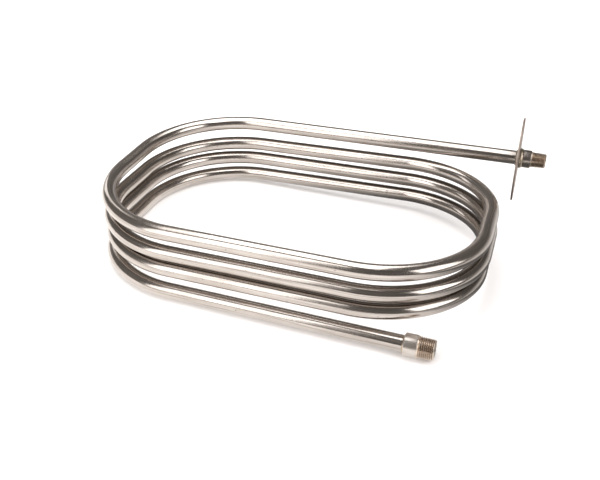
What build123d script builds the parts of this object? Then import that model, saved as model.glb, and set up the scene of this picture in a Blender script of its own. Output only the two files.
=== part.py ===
from build123d import *
import math
import os

# Immersion coil for cooling or heating the liquid in a tank: one long stainless tube wound into
# flat-sided turns, with a threaded adapter on each end and a mounting plate behind the upper one.
# Millimetres. +X runs along the coil towards both adapters, +Y to the back, +Z up, and the coil
# lies on Z = 0. The origin is at the bottom centre of the overall box.

# ---- tube and coil ----
tube_od = 15.875            # 5/8 inch tube
tube_wall = 1.245           # 0.049 inch wall
coil_length = 403.0         # between the centrelines of the left and right ends
coil_width = 266.5          # between the centrelines of the front and back runs
bend_radius = 109.5         # every corner, to the tube's centreline
coil_centre = (-16.4, -20.35)
ground = -0.136              # the lower collar and the last turn then touch the floor

# Height of the centreline at the corners of each turn, from the top turn down: back right,
# back left, front left, front right. The first is the upper lead and the last the lower lead.
# The turns are wound by hand, so the gaps between them are uneven.
turn_heights = [
    (88.0, 75.5, 72.5, 78.0),
    (63.5, 48.5, 50.0, 56.0),
    (41.5, 30.0, 32.5, 36.5),
    (22.0, 8.1, 8.3, 11.0),
]
left_reach = (0.5, 0.0, -1.0, 0.5)   # how far each left end stands out past the mean
right_reach = (0.0, 1.0, -1.0)       # the same for the right ends
lean = (-0.029, 0.066)               # how far the stack leans in X and Y for each mm of height
lower_splay = 2.0                    # the lower lead's end stands this far in front of its run

# ---- stations along each lead, from the end of the tube: minus is back along the tube ----
upper_tube_end = 226.9               # in X, from the coil's centre
upper_plate = -12.4                  # middle of the plate
upper_collar = (-7.0, 1.3)
upper_tip = 17.8
lower_tube_end = 157.6
lower_collar = (-9.0, 3.2)
lower_tip = 19.8

# ---- adapters: collars, sockets and bores ----
upper_collar_diameter = 20.2
upper_shank_diameter = 18.0          # largest diameter over the threads
upper_bore_diameter = 11.5
lower_collar_diameter = 21.6
lower_shank_diameter = 20.9
lower_bore_diameter = 13.4
socket_gap = 0.05                    # radial room for the braze between tube and socket
collar_edge = 0.4                    # bevel of the collar's outer edge
thread_side_bevel = 0.2              # bevel beside the shank
tip_chamfer = 1.6

# ---- pipe threads: taper of 1 in 16 on the diameter, 60 degree form ----
taper = 1 / 32                       # loss of radius per mm of length
thread_depth_ratio = 0.72            # depth over pitch
root_flat_ratio = 0.04               # flat at the bottom of the groove, over pitch
groove_overshoot_ratio = 0.08        # how far the cutting outline stands above the crests
half_thread_angle = math.radians(30)
runout_turns = 0.8                   # plain length between the collar and the first groove
upper_pitch = 1.411                  # 3/8 NPT, 18 threads per inch
upper_tip_diameter = 17.055          # over the crests at the small end
lower_pitch = 1.814                  # 1/2 NPT, 14 threads per inch
lower_tip_diameter = 20.715

# ---- mounting plate and welds ----
plate_diameter = 94.0
plate_thickness = 2.0
plate_drop = 2.0                     # the plate's centre is this far below the tube's axis
plate_edge = 0.3
weld_recess_diameter = 23.0          # shallow seat in the plate's outer face for the bead
weld_recess_depth = 0.25
outer_weld_diameter = 22.4           # bead between the plate and the collar
outer_weld_sag = 0.1                 # fall of the bead's top at its middle
outer_weld_middle = 0.6              # where that is, as a share of the way to the collar
inner_weld_leg = 2.2                 # fillet between the tube and the plate
ring_weld_leg = 1.5                  # fillet between the tube and the lower collar

tube_radius = tube_od / 2
socket_radius = tube_radius + socket_gap


def tube_corners():
    """Centreline points of the tube: its upper end, the corners in order, its lower end."""
    points = []
    for turn, heights in enumerate(turn_heights):
        right_before = coil_length / 2 + (right_reach[turn - 1] if turn > 0 else 0)
        right_after = coil_length / 2 + (right_reach[turn] if turn < len(right_reach) else 0)
        left = -coil_length / 2 - left_reach[turn]
        plan = [
            (right_before, coil_width / 2),
            (left, coil_width / 2),
            (left, -coil_width / 2),
            (right_after, -coil_width / 2),
        ]
        for (x, y), z in zip(plan, heights):
            x_leant = coil_centre[0] + x + lean[0] * z
            y_leant = coil_centre[1] + y + lean[1] * z
            points.append(Vector(x_leant, y_leant, z + ground))
    first, last = points[0], points[-1]
    points[0] = Vector(coil_centre[0] + upper_tube_end, first.Y, first.Z)
    points[-1] = Vector(coil_centre[0] + lower_tube_end, last.Y - lower_splay, last.Z)
    return points


def end_plane(tip, neighbour):
    """Plane at a tube end for turned outlines: X runs out along the tube, Y is the radius."""
    along = (tip - neighbour).normalized()
    side = along.cross(Vector(0, 0, 1)).normalized()
    return Plane(origin=tip, x_dir=along, z_dir=side)


def outline(plane, *points):
    """Closed outline of (station, radius) points on a plane through the tube's axis."""
    with BuildSketch(plane) as sketch:
        with BuildLine():
            Polyline(*points, close=True)
        make_face()
    return sketch.sketch


def axis_of(plane):
    return Axis(plane.origin, plane.x_dir)


def adapter_blank(plane, collar, tip, collar_diameter, shank_diameter, tip_diameter, bore_diameter):
    """Outline of an adapter before its thread is cut: collar, tapered shank, socket and bore."""
    start, end = collar
    collar_radius = collar_diameter / 2
    shank_radius = shank_diameter / 2
    tip_radius = tip_diameter / 2
    return outline(
        plane,
        (start, socket_radius),
        (start, collar_radius - collar_edge),
        (start + collar_edge, collar_radius),
        (end - collar_edge, collar_radius),
        (end, collar_radius - thread_side_bevel),
        (end, shank_radius),
        (tip - (shank_radius - tip_radius) / taper, shank_radius),
        (tip - tip_chamfer, tip_radius + tip_chamfer * taper),
        (tip, tip_radius - tip_chamfer),
        (tip, bore_diameter / 2),
        (0, bore_diameter / 2),
        (0, socket_radius),
    )


def cut_thread(plane, collar_end, tip, tip_diameter, pitch):
    """Cut a tapered pipe thread into the part being built, turn by turn, from near the collar."""
    begin = collar_end + runout_turns * pitch
    turns = math.ceil((tip - begin) / pitch) + 1
    along = plane.x_dir
    depth = thread_depth_ratio * pitch
    root = root_flat_ratio * pitch / 2
    over = groove_overshoot_ratio * pitch
    mouth = root + (depth + over) * math.tan(half_thread_angle)
    cone_angle = -math.degrees(math.atan(taper))
    for turn in range(turns):
        station = begin + turn * pitch
        radius = tip_diameter / 2 + (tip - station) * taper
        centre = plane.origin + along * station
        with BuildLine() as path:
            Helix(pitch, pitch, radius, centre, along, cone_angle=cone_angle)
        start = path.line @ 0
        outward = (start - centre).normalized()
        groove = outline(
            Plane(origin=start, x_dir=along, z_dir=along.cross(outward)),
            (-mouth, over),
            (-root, -depth),
            (root, -depth),
            (mouth, over),
        )
        sweep(groove, path=path.line, is_frenet=True, mode=Mode.SUBTRACT)


corners = tube_corners()
upper_end = end_plane(corners[0], corners[1])
lower_end = end_plane(corners[-1], corners[-2])
plate_back = upper_plate - plate_thickness / 2
plate_front = upper_plate + plate_thickness / 2
os.makedirs("parts", exist_ok=True)

# ---- the coiled tube: straight runs joined by corners of one radius, swept as an open ring ----
with BuildPart() as coil_tube:
    with BuildLine() as centreline:
        FilletPolyline(*corners, radius=bend_radius)
    with BuildSketch(Plane(origin=corners[0], z_dir=corners[1] - corners[0])):
        Circle(tube_radius)
        Circle(tube_radius - tube_wall, mode=Mode.SUBTRACT)
    sweep(path=centreline.line)
coil_tube.part.label = "coil_tube"
export_step(coil_tube.part, "parts/coil_tube.step")
section = math.pi * (tube_radius**2 - (tube_radius - tube_wall) ** 2)
tube_length = sum(edge.length for edge in centreline.edges())
print("tube length", round(tube_length, 1))
print("volume over section times length", round(coil_tube.part.volume / (section * tube_length), 4))

# ---- mounting plate: a thin disc with a hole for the tube ----
with BuildPart() as mounting_plate:
    plate_plane = Plane(
        origin=upper_end.origin + upper_end.x_dir * plate_back,
        x_dir=-upper_end.z_dir,
        z_dir=upper_end.x_dir,
    )
    with BuildSketch(plate_plane):
        with Locations((0, -plate_drop)):
            Circle(plate_diameter / 2)
        Circle(tube_radius, mode=Mode.SUBTRACT)
    extrude(amount=plate_thickness)
    rim = mounting_plate.edges().filter_by(GeomType.CIRCLE).sort_by(SortBy.RADIUS)[-2:]
    chamfer(rim, plate_edge)
    with BuildSketch(plate_plane.offset(plate_thickness)):
        Circle(weld_recess_diameter / 2)
    extrude(amount=-weld_recess_depth, mode=Mode.SUBTRACT)
mounting_plate.part.label = "mounting_plate"
export_step(mounting_plate.part, "parts/mounting_plate.step")

# ---- adapters ----
with BuildPart() as upper_adapter:
    revolve(
        adapter_blank(
            upper_end,
            upper_collar,
            upper_tip,
            upper_collar_diameter,
            upper_shank_diameter,
            upper_tip_diameter,
            upper_bore_diameter,
        ),
        axis=axis_of(upper_end),
    )
    cut_thread(upper_end, upper_collar[1], upper_tip, upper_tip_diameter, upper_pitch)
upper_adapter.part.label = "upper_adapter"
export_step(upper_adapter.part, "parts/upper_adapter.step")

with BuildPart() as lower_adapter:
    revolve(
        adapter_blank(
            lower_end,
            lower_collar,
            lower_tip,
            lower_collar_diameter,
            lower_shank_diameter,
            lower_tip_diameter,
            lower_bore_diameter,
        ),
        axis=axis_of(lower_end),
    )
    cut_thread(lower_end, lower_collar[1], lower_tip, lower_tip_diameter, lower_pitch)
lower_adapter.part.label = "lower_adapter"
export_step(lower_adapter.part, "parts/lower_adapter.step")

# ---- welds ----
with BuildPart() as plate_weld_outer:
    collar_start = upper_collar[0]
    collar_radius = upper_collar_diameter / 2
    bead_radius = outer_weld_diameter / 2
    bead_start = plate_front - weld_recess_depth
    bead_middle = plate_front + outer_weld_middle * (collar_start - plate_front)
    with BuildSketch(upper_end):
        with BuildLine():
            Polyline(
                (collar_start, collar_radius - collar_edge),
                (collar_start, tube_radius),
                (bead_start, tube_radius),
                (bead_start, bead_radius),
            )
            ThreePointArc(
                (bead_start, bead_radius),
                (bead_middle, bead_radius - outer_weld_sag),
                (collar_start, collar_radius - collar_edge),
            )
        make_face()
    revolve(axis=axis_of(upper_end))
plate_weld_outer.part.label = "plate_weld_outer"
export_step(plate_weld_outer.part, "parts/plate_weld_outer.step")

with BuildPart() as plate_weld_inner:
    revolve(
        outline(
            upper_end,
            (plate_back, tube_radius),
            (plate_back, tube_radius + inner_weld_leg),
            (plate_back - inner_weld_leg, tube_radius),
        ),
        axis=axis_of(upper_end),
    )
plate_weld_inner.part.label = "plate_weld_inner"
export_step(plate_weld_inner.part, "parts/plate_weld_inner.step")

with BuildPart() as lower_adapter_weld:
    revolve(
        outline(
            lower_end,
            (lower_collar[0], tube_radius),
            (lower_collar[0], tube_radius + ring_weld_leg),
            (lower_collar[0] - ring_weld_leg, tube_radius),
        ),
        axis=axis_of(lower_end),
    )
lower_adapter_weld.part.label = "lower_adapter_weld"
export_step(lower_adapter_weld.part, "parts/lower_adapter_weld.step")

pieces = [
    coil_tube,
    mounting_plate,
    upper_adapter,
    lower_adapter,
    plate_weld_outer,
    plate_weld_inner,
    lower_adapter_weld,
]
whole = Compound(children=[piece.part for piece in pieces]).bounding_box()
print("box", whole.min, whole.max)
print("upper end", upper_end.origin, upper_end.x_dir)
print("lower end", lower_end.origin, lower_end.x_dir)
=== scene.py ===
import math
from itertools import pairwise

import bmesh
import bpy
from mathutils import Matrix, Vector


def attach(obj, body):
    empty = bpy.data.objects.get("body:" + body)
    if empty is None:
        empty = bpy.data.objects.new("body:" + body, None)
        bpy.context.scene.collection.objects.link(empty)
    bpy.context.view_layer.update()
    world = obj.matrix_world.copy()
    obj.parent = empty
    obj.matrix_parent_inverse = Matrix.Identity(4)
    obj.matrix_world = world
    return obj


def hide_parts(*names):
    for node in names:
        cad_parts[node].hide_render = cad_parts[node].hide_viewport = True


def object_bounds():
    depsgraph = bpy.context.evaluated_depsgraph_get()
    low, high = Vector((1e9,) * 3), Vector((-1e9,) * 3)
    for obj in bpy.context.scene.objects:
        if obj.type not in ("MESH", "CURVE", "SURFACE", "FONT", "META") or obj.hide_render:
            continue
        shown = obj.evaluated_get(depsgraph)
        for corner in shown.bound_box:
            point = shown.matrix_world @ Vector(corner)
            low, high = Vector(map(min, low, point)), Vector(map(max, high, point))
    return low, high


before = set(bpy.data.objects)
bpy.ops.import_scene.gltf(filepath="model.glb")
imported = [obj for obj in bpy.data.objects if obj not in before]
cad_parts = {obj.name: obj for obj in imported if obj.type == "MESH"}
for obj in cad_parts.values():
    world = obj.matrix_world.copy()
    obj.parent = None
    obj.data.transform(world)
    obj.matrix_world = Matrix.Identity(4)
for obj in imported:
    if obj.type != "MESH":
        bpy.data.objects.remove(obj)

cad_low, cad_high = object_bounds()
MM = 0.001
TURN = 2 * math.pi

# ---------------------------------------------------------------- sizes in mm, as in part.py
TUBE_RADIUS = 15.875 / 2
TUBE_WALL = 1.245
COIL_LENGTH = 403.0
COIL_WIDTH = 266.5
BEND_RADIUS = 109.5
COIL_CENTRE = (-16.4, -20.35)
GROUND = -0.136
TURN_HEIGHTS = [
    (88.0, 75.5, 72.5, 78.0),
    (63.5, 48.5, 50.0, 56.0),
    (41.5, 30.0, 32.5, 36.5),
    (22.0, 8.1, 8.3, 11.0),
]
LEFT_REACH = (0.5, 0.0, -1.0, 0.5)
RIGHT_REACH = (0.0, 1.0, -1.0)
LEAN = (-0.029, 0.066)
LOWER_SPLAY = 2.0
UPPER_TUBE_END = 226.9
LOWER_TUBE_END = 157.6
TAPER = 1 / 32

UPPER = dict(
    collar=(-7.0, 1.3), tip=17.8, collar_diameter=20.2, shank_diameter=18.0,
    bore_diameter=11.5, pitch=1.411, tip_diameter=17.055,
)
LOWER = dict(
    collar=(-9.0, 3.2), tip=19.8, collar_diameter=21.6, shank_diameter=20.9,
    bore_diameter=13.4, pitch=1.814, tip_diameter=20.715,
)
COLLAR_EDGE = 0.4
TIP_CHAMFER = 1.6
THREAD_DEPTH = 0.72
PLATE_STATION = -12.4
PLATE_THICKNESS = 2.0
PLATE_DIAMETER = 94.0
PLATE_DROP = 2.0
WELD_RECESS_RADIUS = 11.5
WELD_RECESS_DEPTH = 0.25
OUTER_WELD_RADIUS = 11.2
INNER_WELD_LEG = 2.2
RING_WELD_LEG = 1.5

# ---------------------------------------------------------------- sizes in mm, visual model only
RUN_STEP = 6.0
BEND_STEP = 3.5
TUBE_SIDES = 48
ADAPTER_SIDES = 96
PLATE_SIDES = 160
WELD_SIDES = 240
SOCKET_CLEARANCE = 0.05
BORE_CHAMFER = 0.5
THREAD_START = 0.15
RUN_OUT_TURNS = 1.6
CREST_SHARE = 0.12
ROOT_SHARE = 0.10
THREAD_STEPS = (0, 0.06, 0.19, 0.32, 0.45, 0.55, 0.68, 0.81, 0.94)
MERGE_DISTANCE = 0.002
PLATE_EDGE = 0.3
RIM_INSET = 0.01
OUTER_WELD_STEPS = 9
OUTER_WELD_CURVE = 2.2
OUTER_WELD_CROWN = 0.25
OUTER_WELD_RIPPLE = 0.22
# reach of the painted shade between turns
SHADE_REACH = 22

# ---------------------------------------------------------------- studio, in metres and degrees
FLOOR_REACH = 9
FLOOR_GAP = 0.0001
FLOOR_SLANT = 1.2
FLOOR_IN_STEEL = (
    (0.20, 1.0), (0.40, 0.86), (0.52, 0.70), (0.61, 0.34), (0.69, 0.11), (0.84, 0.11), (0.96, 0.60),
)
SOFTBOXES = (
    # name, centre, target, size, radiance
    ("overhead", (-0.165, 0.13, 0.80), (-0.165, 0.13, 0), (0.66, 0.90), 3.0),
    ("front_left", (-0.56, -0.90, 0.74), (-0.56, 0, 0.74), (0.76, 1.26), 2.4),
    ("right", (0.80, -0.27, 0.64), (0, -0.27, 0.64), (0.62, 0.80), 2.6),
    ("left", (-0.50, 0.125, 0.30), (0, 0.125, 0.30), (0.13, 0.30), 1.5),
)
CAMERA_YAW = 18.013
CAMERA_PITCH = 32.386
CAMERA_ROLL = 1.469
CAMERA_LENS_MM = 45.0
CAMERA_SENSOR_MM = 36.0
EYE_FROM_COIL_MM = (220.075, -674.035, 460.791)


# ---------------------------------------------------------------- route of the tube
def tube_corners():
    """Corners of the route, from the upper end down to the lower one."""
    points = []
    for turn, heights in enumerate(TURN_HEIGHTS):
        right_before = COIL_LENGTH / 2 + (RIGHT_REACH[turn - 1] if turn > 0 else 0)
        right_after = COIL_LENGTH / 2 + (RIGHT_REACH[turn] if turn < len(RIGHT_REACH) else 0)
        left = -COIL_LENGTH / 2 - LEFT_REACH[turn]
        plan = [
            (right_before, COIL_WIDTH / 2),
            (left, COIL_WIDTH / 2),
            (left, -COIL_WIDTH / 2),
            (right_after, -COIL_WIDTH / 2),
        ]
        for (x, y), z in zip(plan, heights):
            x_leant = COIL_CENTRE[0] + x + LEAN[0] * z
            y_leant = COIL_CENTRE[1] + y + LEAN[1] * z
            points.append(Vector((x_leant, y_leant, z + GROUND)))
    points[0].x = COIL_CENTRE[0] + UPPER_TUBE_END
    points[-1].x = COIL_CENTRE[0] + LOWER_TUBE_END
    points[-1].y -= LOWER_SPLAY
    return points


def route_stations(corners):
    """(position, direction) along the rounded route, closer together in the bends."""
    stations = []
    start = corners[0]
    for before, corner, after in zip(corners, corners[1:], corners[2:]):
        back = (before - corner).normalized()
        ahead = (after - corner).normalized()
        angle = back.angle(ahead)
        reach = BEND_RADIUS / math.tan(angle / 2)
        centre = corner + (back + ahead).normalized() * BEND_RADIUS / math.sin(angle / 2)
        bend_start = corner + back * reach
        count = max(1, round((bend_start - start).length / RUN_STEP))
        for i in range(count):
            stations.append((start.lerp(bend_start, i / count), -back))
        out = (bend_start - centre).normalized()
        sweep = math.pi - angle
        count = round(sweep * BEND_RADIUS / BEND_STEP)
        for i in range(count):
            turned = sweep * i / count
            position = centre + (out * math.cos(turned) - back * math.sin(turned)) * BEND_RADIUS
            direction = -out * math.sin(turned) - back * math.cos(turned)
            stations.append((position, direction))
        start = corner + ahead * reach
    direction = (corners[-1] - start).normalized()
    count = round((corners[-1] - start).length / RUN_STEP)
    for i in range(count + 1):
        stations.append((start.lerp(corners[-1], i / count), direction))
    return stations


def end_matrix(origin, out):
    """Frame at a tube end, in mm: X out along the tube, Z as near up as can be."""
    side = Vector((0, 0, 1)).cross(out).normalized()
    up = out.cross(side)
    return Matrix((
        (out.x, side.x, up.x, origin.x),
        (out.y, side.y, up.y, origin.y),
        (out.z, side.z, up.z, origin.z),
        (0, 0, 0, 1),
    ))


# ---------------------------------------------------------------- mesh helpers
def add_piece(name, bm, replaces, materials, sharp=40):
    """Turn a bmesh in mm into a smooth-shaded piece that stands for a CAD node."""
    bmesh.ops.recalc_face_normals(bm, faces=bm.faces)
    for edge in bm.edges:
        edge.smooth = not edge.is_manifold or edge.calc_face_angle(0) < math.radians(sharp)
    for face in bm.faces:
        face.smooth = True
    bmesh.ops.scale(bm, vec=(MM, MM, MM), verts=bm.verts)
    mesh = bpy.data.meshes.new(name)
    bm.to_mesh(mesh)
    bm.free()
    for material in materials:
        mesh.materials.append(material)
    piece = bpy.data.objects.new(name, mesh)
    bpy.context.scene.collection.objects.link(piece)
    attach(piece, "root")
    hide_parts(replaces)


def bridge(bm, rings):
    """Quads between neighbouring rings of vertices, and from the last ring to the first."""
    for low, high in pairwise([*rings, rings[0]]):
        for i in range(len(low)):
            j = (i + 1) % len(low)
            bm.faces.new((low[i], low[j], high[j], high[i]))


def turned_point(matrix, station, radius, angle, drop=0):
    """Point at a station and radius about the tube's axis, at an angle round it."""
    return matrix @ Vector((station, radius * math.cos(angle), radius * math.sin(angle) - drop))


# ---------------------------------------------------------------- tube
def tube_piece(corners, material):
    """Hollow tube along the whole route, with its unrolled surface kept for the drawn lines."""
    bm = bmesh.new()
    unrolled = bm.verts.layers.float_vector.new("unrolled")
    stations = route_stations(corners)
    side = Vector((0, 0, 1)).cross(stations[0][1]).normalized()
    travelled = 0
    last = stations[0][0]
    outer, inner = [], []
    for position, direction in stations:
        side = (side - direction * side.dot(direction)).normalized()
        up = direction.cross(side)
        travelled += (position - last).length
        last = position
        for rings, radius in ((outer, TUBE_RADIUS), (inner, TUBE_RADIUS - TUBE_WALL)):
            ring = []
            for i in range(TUBE_SIDES):
                angle = TURN * i / TUBE_SIDES
                sideways = radius * math.cos(angle)
                upwards = radius * math.sin(angle)
                across = (side * math.cos(angle) + up * math.sin(angle)) * radius
                vert = bm.verts.new(position + across)
                vert[unrolled] = Vector((travelled, sideways, upwards)) * MM
                ring.append(vert)
            rings.append(ring)
    bridge(bm, outer + inner[::-1])
    add_piece("coil_tube_drawn", bm, "coil_tube", [material])


# ---------------------------------------------------------------- adapters
def groove(phase):
    """Depth of the thread over its pitch at a phase from 0 to 1: crest flat, flank, root, flank."""
    half_crest = CREST_SHARE / 2
    flank = (1 - CREST_SHARE - ROOT_SHARE) / 2
    root_start = half_crest + flank
    knots = (
        (0, 0), (half_crest, 0), (root_start, 1), (root_start + ROOT_SHARE, 1),
        (1 - half_crest, 0), (1, 0),
    )
    for (a, low), (b, high) in pairwise(knots):
        if phase <= b:
            return low + (high - low) * (phase - a) / (b - a)


def thread_surface(spec, station, angle):
    """Radius of the threaded shank and how deep its groove is there, from 0 to 1."""
    tip, pitch = spec["tip"], spec["pitch"]
    tip_radius = spec["tip_diameter"] / 2
    run_out = min(1, max(0, (station - spec["collar"][1]) / (RUN_OUT_TURNS * pitch)))
    depth = run_out * groove((station / pitch - angle / TURN) % 1)
    crest = min(spec["shank_diameter"] / 2, tip_radius + (tip - station) * TAPER)
    chamfer = tip_radius - TIP_CHAMFER + (tip - station)
    return min(crest - THREAD_DEPTH * pitch * depth, chamfer), depth


def adapter_rows(spec, angles):
    """Rows of (station, radius, groove depth) for each angle: outside, thread and inside."""
    start, collar_end = spec["collar"]
    tip, pitch = spec["tip"], spec["pitch"]
    collar = spec["collar_diameter"] / 2
    bore = spec["bore_diameter"] / 2
    socket = TUBE_RADIUS + SOCKET_CLEARANCE
    outside = [
        (start, socket),
        (start, collar - COLLAR_EDGE),
        (start + COLLAR_EDGE * 0.4, collar - COLLAR_EDGE * 0.4),
        (start + COLLAR_EDGE, collar),
        (collar_end - COLLAR_EDGE, collar),
        (collar_end - COLLAR_EDGE * 0.3, collar - COLLAR_EDGE * 0.2),
        (collar_end, collar - COLLAR_EDGE * 0.6),
        (collar_end, spec["shank_diameter"] / 2),
    ]
    inside = [(tip, bore + BORE_CHAMFER), (tip - BORE_CHAMFER, bore), (0, bore), (0, socket)]
    thread_start = collar_end + THREAD_START
    first_turn = math.ceil(thread_start / pitch) - 1
    last_turn = math.ceil(tip / pitch) + 1
    thread = []
    for turn in range(first_turn, last_turn):
        for share in THREAD_STEPS:
            row = []
            for angle in angles:
                wound = (turn + share + angle / TURN - 1) * pitch
                station = min(tip, max(thread_start, wound))
                row.append((station, *thread_surface(spec, station, angle)))
            thread.append(row)
    return (
        [[(*point, 0)] * len(angles) for point in outside],
        thread,
        [[(*point, 0)] * len(angles) for point in inside],
    )


def adapter_piece(name, replaces, spec, matrix, metal, thread_metal):
    """Collar, tapered shank with a real helical thread, port bore and socket."""
    bm = bmesh.new()
    cut_depth = bm.verts.layers.float_vector.new("cut_depth")
    angles = [TURN * i / ADAPTER_SIDES for i in range(ADAPTER_SIDES + 1)]
    outside, thread, inside = adapter_rows(spec, angles)
    grid = []
    for row in outside + thread + inside:
        line = []
        for angle, (station, radius, depth) in zip(angles, row):
            vert = bm.verts.new(turned_point(matrix, station, radius, angle))
            vert[cut_depth] = Vector((depth, 0, 0))
            line.append(vert)
        grid.append(line)
    threaded = range(len(outside), len(outside) + len(thread))
    for k, (low, high) in enumerate(pairwise([*grid, grid[0]])):
        for i in range(ADAPTER_SIDES):
            face = bm.faces.new((low[i], low[i + 1], high[i + 1], high[i]))
            face.material_index = 1 if k in threaded else 0
    bmesh.ops.remove_doubles(bm, verts=bm.verts, dist=MERGE_DISTANCE)
    bmesh.ops.dissolve_degenerate(bm, edges=bm.edges, dist=MERGE_DISTANCE)
    add_piece(name, bm, replaces, [metal, thread_metal], sharp=32)


# ---------------------------------------------------------------- mounting plate
def plate_piece(matrix, metal, rim_metal):
    """Thin disc with rolled edges, a hole for the tube and a shallow seat for the weld."""
    bm = bmesh.new()
    back = PLATE_STATION - PLATE_THICKNESS / 2
    front = PLATE_STATION + PLATE_THICKNESS / 2
    seat = front - WELD_RECESS_DEPTH
    rim = PLATE_DIAMETER / 2 - RIM_INSET
    corner = PLATE_EDGE * 0.3
    outline = [
        (back, TUBE_RADIUS, 0),
        (back, rim - PLATE_EDGE, PLATE_DROP),
        (back + corner, rim - corner, PLATE_DROP),
        (back + PLATE_EDGE, rim, PLATE_DROP),
        (front - PLATE_EDGE, rim, PLATE_DROP),
        (front - corner, rim - corner, PLATE_DROP),
        (front, rim - PLATE_EDGE, PLATE_DROP),
        (front, WELD_RECESS_RADIUS, 0),
        (seat, WELD_RECESS_RADIUS, 0),
        (seat, TUBE_RADIUS, 0),
    ]
    rings = []
    for station, radius, drop in outline:
        angles = [TURN * i / PLATE_SIDES for i in range(PLATE_SIDES)]
        points = [turned_point(matrix, station, radius, angle, drop) for angle in angles]
        rings.append([bm.verts.new(point) for point in points])
    bridge(bm, rings)
    to_plate = Matrix.Translation((0, 0, PLATE_DROP)) @ matrix.inverted()
    for face in bm.faces:
        if min((to_plate @ vert.co).yz.length for vert in face.verts) > rim - PLATE_EDGE * 1.1:
            face.material_index = 1
    add_piece("mounting_plate_rolled", bm, "mounting_plate", [metal, rim_metal])


# ---------------------------------------------------------------- welds
def bead_ripple(angle, seed, count):
    """Scalloped puddles of a hand-laid bead, with small drift in size."""
    drift = 0.25 * math.sin(3 * angle + seed) + 0.18 * math.sin(7 * angle + 2 * seed)
    scallop = abs(math.sin(count * angle / 2 + 0.35 * math.sin(5 * angle + seed)))
    return scallop - 0.6 + drift


def bead_piece(name, replaces, outline, heights, matrix, seed, count, metal):
    """Closed (station, radius) outline turned about the tube, with ripples of these heights."""
    bm = bmesh.new()
    rings = []
    for (station, radius), height in zip(outline, heights):
        ring = []
        for i in range(WELD_SIDES):
            angle = TURN * i / WELD_SIDES
            rippled = radius + height * bead_ripple(angle, seed, count)
            ring.append(bm.verts.new(turned_point(matrix, station, rippled, angle)))
        rings.append(ring)
    bridge(bm, rings)
    add_piece(name, bm, replaces, [metal])


def outer_bead():
    """Outline and ripple heights of the bead from the plate's seat to the upper collar."""
    seat = PLATE_STATION + PLATE_THICKNESS / 2 - WELD_RECESS_DEPTH
    collar_start = UPPER["collar"][0]
    collar_seam = UPPER["collar_diameter"] / 2 - COLLAR_EDGE
    outline = [(seat, TUBE_RADIUS)]
    heights = [0]
    for k in range(OUTER_WELD_STEPS + 1):
        share = k / OUTER_WELD_STEPS
        narrowed = (collar_seam - OUTER_WELD_RADIUS) * share ** OUTER_WELD_CURVE
        crown = OUTER_WELD_CROWN * math.sin(math.pi * share)
        outline.append((seat + (collar_start - seat) * share, OUTER_WELD_RADIUS + narrowed + crown))
        heights.append(OUTER_WELD_RIPPLE * math.sin(math.pi * (0.12 + 0.8 * share)))
    outline.append((collar_start, TUBE_RADIUS))
    heights.append(0)
    return outline, heights


def fillet(station, leg):
    """Hollow fillet outline on the tube, behind a flat face at a station."""
    return [
        (station, TUBE_RADIUS),
        (station, TUBE_RADIUS + leg),
        (station - leg * 0.30, TUBE_RADIUS + leg * 0.80),
        (station - leg * 0.65, TUBE_RADIUS + leg * 0.46),
        (station - leg, TUBE_RADIUS),
    ]


# ---------------------------------------------------------------- node helpers
def new_material(name):
    material = bpy.data.materials.new(name)
    material.use_nodes = True
    nodes = material.node_tree.nodes
    nodes.clear()
    out = nodes.new("ShaderNodeOutputMaterial")
    shader = nodes.new("ShaderNodeBsdfPrincipled")
    material.node_tree.links.new(shader.outputs["BSDF"], out.inputs["Surface"])
    return material, material.node_tree, shader


def node(tree, kind, **settings):
    made = tree.nodes.new(kind)
    for key, value in settings.items():
        setattr(made, key, value)
    return made


def feed(tree, value, socket):
    """Link another socket's value to this socket, or set a number or colour on it."""
    if isinstance(value, bpy.types.NodeSocket):
        tree.links.new(value, socket)
    elif isinstance(value, tuple):
        socket.default_value = (*value, 1)
    else:
        socket.default_value = value


def noise(tree, coordinates, scale, detail, roughness=0.55, stretch=(1, 1, 1)):
    mapping = node(tree, "ShaderNodeMapping")
    mapping.inputs["Scale"].default_value = stretch
    tree.links.new(coordinates, mapping.inputs["Vector"])
    made = node(tree, "ShaderNodeTexNoise")
    made.inputs["Scale"].default_value = scale
    made.inputs["Detail"].default_value = detail
    made.inputs["Roughness"].default_value = roughness
    tree.links.new(mapping.outputs["Vector"], made.inputs["Vector"])
    return made.outputs["Fac"]


def ramp(tree, source, stops):
    """Colour ramp through (position, colour) stops."""
    made = node(tree, "ShaderNodeValToRGB")
    elements = made.color_ramp.elements
    while len(elements) < len(stops):
        elements.new(0.5)
    for element, (position, colour) in zip(elements, stops):
        element.position = position
        element.color = (*colour, 1)
    tree.links.new(source, made.inputs["Fac"])
    return made.outputs["Color"]


def grey(value):
    return (value, value, value)


def fade(tree, source, *stops):
    """Grey ramp through (position, level) stops."""
    return ramp(tree, source, [(position, grey(level)) for position, level in stops])


def mix(tree, factor, a, b, blend="MIX"):
    made = node(tree, "ShaderNodeMix", data_type="RGBA", blend_type=blend)
    factor_socket, a_socket, b_socket = made.inputs[0], made.inputs[6], made.inputs[7]
    feed(tree, factor, factor_socket)
    feed(tree, a, a_socket)
    feed(tree, b, b_socket)
    return made.outputs[2]


def math_node(tree, operation, *values):
    made = node(tree, "ShaderNodeMath", operation=operation)
    for socket, value in zip(made.inputs, values):
        feed(tree, value, socket)
    return made.outputs[0]


def parts_of(tree, vector):
    """X, Y and Z sockets of a vector."""
    made = node(tree, "ShaderNodeSeparateXYZ")
    tree.links.new(vector, made.inputs["Vector"])
    return made.outputs


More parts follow.
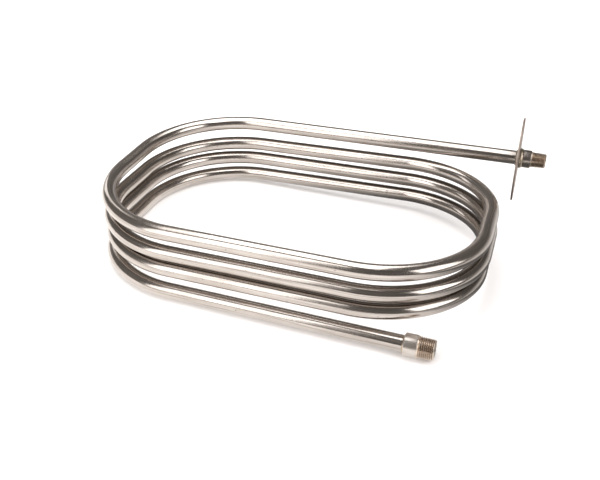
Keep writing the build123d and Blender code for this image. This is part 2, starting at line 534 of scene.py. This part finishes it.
def bump(tree, shader, layers):
    """Chain of (height, strength, distance in mm) bumps into the shader's normal."""
    normal = None
    for height, strength, distance in layers:
        made = node(tree, "ShaderNodeBump")
        made.inputs["Strength"].default_value = strength
        made.inputs["Distance"].default_value = distance * MM
        tree.links.new(height, made.inputs["Height"])
        if normal:
            tree.links.new(normal, made.inputs["Normal"])
        normal = made.outputs["Normal"]
    tree.links.new(normal, shader.inputs["Normal"])


# ---------------------------------------------------------------- steels
def painted_shade_between_turns(tree):
    """Mask of painted shade: 1 on upward faces close under another turn, 0 in the open."""
    enclosed = node(tree, "ShaderNodeAmbientOcclusion", samples=6)
    enclosed.inputs["Distance"].default_value = SHADE_REACH * MM
    normal = parts_of(tree, node(tree, "ShaderNodeNewGeometry").outputs["Normal"])
    closed = fade(tree, enclosed.outputs["AO"], (0.30, 1), (0.86, 0))
    upward = fade(tree, normal["Z"], (0.05, 0), (0.45, 1))
    return mix(tree, 1.0, closed, upward, "MULTIPLY")


def tube_steel():
    """Drawn tube: fine lines along it, dark streaks, cloudy stain, pits, uneven polish, painted
    shade between turns.
    """
    material, tree, shader = new_material("tube_steel_drawn")
    along = node(tree, "ShaderNodeAttribute", attribute_name="unrolled").outputs["Vector"]
    lines = noise(tree, along, scale=1700, detail=4, roughness=0.6, stretch=(0.010, 1, 1))
    streaks = noise(tree, along, scale=620, detail=3, roughness=0.6, stretch=(0.022, 1, 1))
    bands = noise(tree, along, scale=430, detail=2, roughness=0.5, stretch=(0.016, 1, 1))
    clouds = noise(tree, along, scale=36, detail=4, roughness=0.6, stretch=(0.5, 1, 1))
    pits = noise(tree, along, scale=560, detail=2, roughness=0.5, stretch=(0.55, 1, 1))
    pit_mask = fade(tree, pits, (0.0, 0), (0.725, 0), (0.75, 1))

    stain = ramp(tree, clouds, [(0.35, (0.71, 0.645, 0.595)), (0.70, (0.59, 0.525, 0.475))])
    lined = mix(tree, 0.44, stain, fade(tree, lines, (0.3, 0.35), (0.7, 1.0)), "MULTIPLY")
    streak_mask = fade(tree, streaks, (0.53, 0), (0.70, 0.62))
    streaked = mix(tree, streak_mask, lined, (0.28, 0.245, 0.215))
    # painted shade: upward faces close under another turn are darkened to this brown-grey
    shaded_between_turns = mix(tree, painted_shade_between_turns(tree), streaked, (0.19, 0.162, 0.142))
    colour = mix(tree, pit_mask, shaded_between_turns, (0.10, 0.08, 0.065))
    tree.links.new(colour, shader.inputs["Base Color"])
    shader.inputs["Metallic"].default_value = 1.0

    polish = fade(tree, bands, (0.3, 0.12), (0.7, 0.21))
    dull_mask = fade(tree, clouds, (0.45, 0), (0.75, 0.6))
    tree.links.new(mix(tree, dull_mask, polish, grey(0.32)), shader.inputs["Roughness"])
    bump(tree, shader, [(lines, 0.16, 0.05), (bands, 0.24, 0.10), (pit_mask, 0.3, -0.05)])
    return material


def turned_steel(name, colour, dark, rough, tint, tint_share, groove_shade=None):
    """Fine tool lines, clouds between two tones, patches of tint, and painted shade in the thread
    grooves.
    """
    material, tree, shader = new_material(name)
    where = node(tree, "ShaderNodeTexCoord").outputs["Object"]
    lines = noise(tree, where, scale=2600, detail=3, roughness=0.6, stretch=(1, 0.08, 0.08))
    clouds = noise(tree, where, scale=120, detail=3, roughness=0.5)
    patches = noise(tree, where, scale=70, detail=2)
    base = mix(tree, fade(tree, clouds, (0.4, 0), (0.66, 1)), colour, dark)
    tinted = mix(tree, fade(tree, patches, (0.42, 0), (0.62, tint_share)), base, tint)
    if groove_shade:
        # painted shade: darker the deeper the groove is cut
        cut = node(tree, "ShaderNodeAttribute", attribute_name="cut_depth").outputs["Fac"]
        tinted = mix(tree, fade(tree, cut, (0.10, 0), (0.50, 1)), tinted, groove_shade)
    tree.links.new(tinted, shader.inputs["Base Color"])
    shader.inputs["Metallic"].default_value = 1.0
    roughness = fade(tree, clouds, (0.3, rough), (0.7, rough + 0.10))
    tree.links.new(roughness, shader.inputs["Roughness"])
    bump(tree, shader, [(lines, 0.12, 0.03), (clouds, 0.05, 0.10)])
    return material


tube_material = tube_steel()
bright_collar = turned_steel(
    "adapter_steel_turned", colour=(0.70, 0.645, 0.60), dark=(0.60, 0.54, 0.49), rough=0.27,
    tint=(0.62, 0.53, 0.46), tint_share=0.25,
)
# darker copy of the adapter steel, for the upper adapter
darker_collar = turned_steel(
    "adapter_steel_darker", colour=(0.42, 0.375, 0.34), dark=(0.30, 0.26, 0.235), rough=0.24,
    tint=(0.34, 0.27, 0.225), tint_share=0.30,
)
# the threaded steel carries painted shade in its grooves
thread_metal = turned_steel(
    "adapter_steel_threaded", colour=(0.80, 0.70, 0.61), dark=(0.66, 0.56, 0.47), rough=0.22,
    tint=(0.66, 0.52, 0.40), tint_share=0.4, groove_shade=(0.22, 0.17, 0.13),
)
plate_material = turned_steel(
    "plate_steel_rolled", colour=(0.52, 0.47, 0.42), dark=(0.46, 0.41, 0.36), rough=0.34,
    tint=(0.46, 0.38, 0.31), tint_share=0.30,
)
rim_material = turned_steel(
    "plate_steel_sheared_edge", colour=(0.46, 0.385, 0.34), dark=(0.34, 0.28, 0.245), rough=0.50,
    tint=(0.50, 0.37, 0.30), tint_share=0.45,
)
weld_material = turned_steel(
    "weld_steel_tinted", colour=(0.58, 0.51, 0.43), dark=(0.40, 0.33, 0.26), rough=0.22,
    tint=(0.52, 0.40, 0.26), tint_share=0.60,
)

# ---------------------------------------------------------------- pieces
corners = tube_corners()
upper = end_matrix(corners[0], (corners[0] - corners[1]).normalized())
lower = end_matrix(corners[-1], (corners[-1] - corners[-2]).normalized())

tube_piece(corners, tube_material)
adapter_piece("upper_adapter_threaded", "upper_adapter", UPPER, upper, darker_collar, thread_metal)
adapter_piece("lower_adapter_threaded", "lower_adapter", LOWER, lower, bright_collar, thread_metal)
plate_piece(upper, plate_material, rim_material)

bead_piece(
    "plate_weld_outer_bead", "plate_weld_outer", *outer_bead(),
    upper, seed=0.7, count=42, metal=weld_material,
)
bead_piece(
    "plate_weld_inner_bead", "plate_weld_inner",
    fillet(PLATE_STATION - PLATE_THICKNESS / 2, INNER_WELD_LEG), [0, 0.16, 0.2, 0.2, 0.0],
    upper, seed=2.1, count=38, metal=weld_material,
)
bead_piece(
    "lower_adapter_weld_bead", "lower_adapter_weld",
    fillet(LOWER["collar"][0], RING_WELD_LEG), [0, 0.10, 0.14, 0.12, 0.0],
    lower, seed=4.0, count=40, metal=weld_material,
)


# ---------------------------------------------------------------- floor, light, camera
def floor_material():
    """White to the camera. Reflections see it darker at the right and back, but not far out."""
    material, tree, shader = new_material("floor_white")
    shader.inputs["Roughness"].default_value = 0.9
    shader.inputs["Specular IOR Level"].default_value = 0.2
    reflected = node(tree, "ShaderNodeLightPath").outputs["Is Glossy Ray"]
    place = node(tree, "ShaderNodeTexCoord").outputs["Object"]
    spot = parts_of(tree, place)
    slant = math_node(tree, "MULTIPLY", spot["Y"], FLOOR_SLANT)
    share = math_node(tree, "ADD", math_node(tree, "ADD", spot["X"], slant), 0.5)
    stops = [(at, (level, level * 0.98, level * 0.96)) for at, level in FLOOR_IN_STEEL]
    in_steel = ramp(tree, share, stops)
    dimmed = mix(tree, 0.7, in_steel, grey(0))
    base = mix(tree, reflected, (0.955, 0.925, 0.915), dimmed)
    tree.links.new(base, shader.inputs["Base Color"])
    away = node(tree, "ShaderNodeVectorMath", operation="LENGTH")
    tree.links.new(place, away.inputs[0])
    far_lift = fade(tree, away.outputs["Value"], (0.35, 0), (0.90, 0.5))
    glow = mix(tree, reflected, far_lift, in_steel)
    tree.links.new(glow, shader.inputs["Emission Color"])
    shader.inputs["Emission Strength"].default_value = 0.95
    return material


def softbox(name, centre, target, size, radiance):
    light = bpy.data.lights.new(name, "AREA")
    light.shape = "RECTANGLE"
    light.size, light.size_y = size
    light.energy = radiance * math.pi * size[0] * size[1]
    lamp = bpy.data.objects.new(name, light)
    bpy.context.scene.collection.objects.link(lamp)
    lamp.location = centre
    aim = Vector(target) - Vector(centre)
    lamp.rotation_euler = aim.to_track_quat("-Z", "Y").to_euler()


def studio_world():
    """Even white light on everything. Reflections see a dark grey room with a pale low back."""
    world = bpy.data.worlds.new("studio")
    world.use_nodes = True
    tree = world.node_tree
    facing = parts_of(tree, node(tree, "ShaderNodeTexCoord").outputs["Generated"])
    across = math_node(tree, "MULTIPLY_ADD", facing["X"], 0.5, 0.5)
    walls = ramp(tree, across, [(0.15, (0.175, 0.165, 0.157)), (0.80, (0.115, 0.107, 0.10))])
    low = fade(tree, facing["Z"], (0.05, 1), (0.30, 0))
    back = fade(tree, facing["Y"], (0.2, 0), (0.6, 1))
    low_back = mix(tree, 1.0, low, back, "MULTIPLY")
    room = mix(tree, low_back, walls, (0.62, 0.60, 0.59))
    reflected = node(tree, "ShaderNodeLightPath").outputs["Is Glossy Ray"]
    light = mix(tree, reflected, (0.92, 0.92, 0.92), room)
    tree.links.new(light, tree.nodes["Background"].inputs["Color"])
    bpy.context.scene.world = world


def studio_camera():
    yaw, pitch, roll = (math.radians(turn) for turn in (CAMERA_YAW, CAMERA_PITCH, CAMERA_ROLL))
    level = math.cos(pitch)
    ahead = Vector((-math.sin(yaw) * level, math.cos(yaw) * level, -math.sin(pitch)))
    right = Vector((math.cos(yaw), math.sin(yaw), 0))
    up = right.cross(ahead)
    x_axis = right * math.cos(roll) + up * math.sin(roll)
    y_axis = -right * math.sin(roll) + up * math.cos(roll)
    eye = (Vector(EYE_FROM_COIL_MM) + Vector((*COIL_CENTRE, GROUND))) * MM
    data = bpy.data.cameras.new("camera")
    data.lens = CAMERA_LENS_MM
    data.sensor_width = CAMERA_SENSOR_MM
    data.clip_start = 0.01
    camera = bpy.data.objects.new("camera", data)
    bpy.context.scene.collection.objects.link(camera)
    camera.matrix_world = Matrix((
        (x_axis.x, y_axis.x, -ahead.x, eye.x),
        (x_axis.y, y_axis.y, -ahead.y, eye.y),
        (x_axis.z, y_axis.z, -ahead.z, eye.z),
        (0, 0, 0, 1),
    ))
    return camera


floor_mesh = bpy.data.meshes.new("floor")
floor_plan = ((-1, -1), (1, -1), (1, 1), (-1, 1))
floor_corners = [(x * FLOOR_REACH, y * FLOOR_REACH, 0) for x, y in floor_plan]
floor_mesh.from_pydata(floor_corners, [], [(0, 1, 2, 3)])
floor_mesh.materials.append(floor_material())
floor = bpy.data.objects.new("floor", floor_mesh)
bpy.context.scene.collection.objects.link(floor)
floor.location.z = cad_low[2] - FLOOR_GAP

for settings in SOFTBOXES:
    softbox(*settings)
studio_world()
bpy.context.scene.camera = studio_camera()
bpy.context.scene.view_settings.view_transform = "Standard"
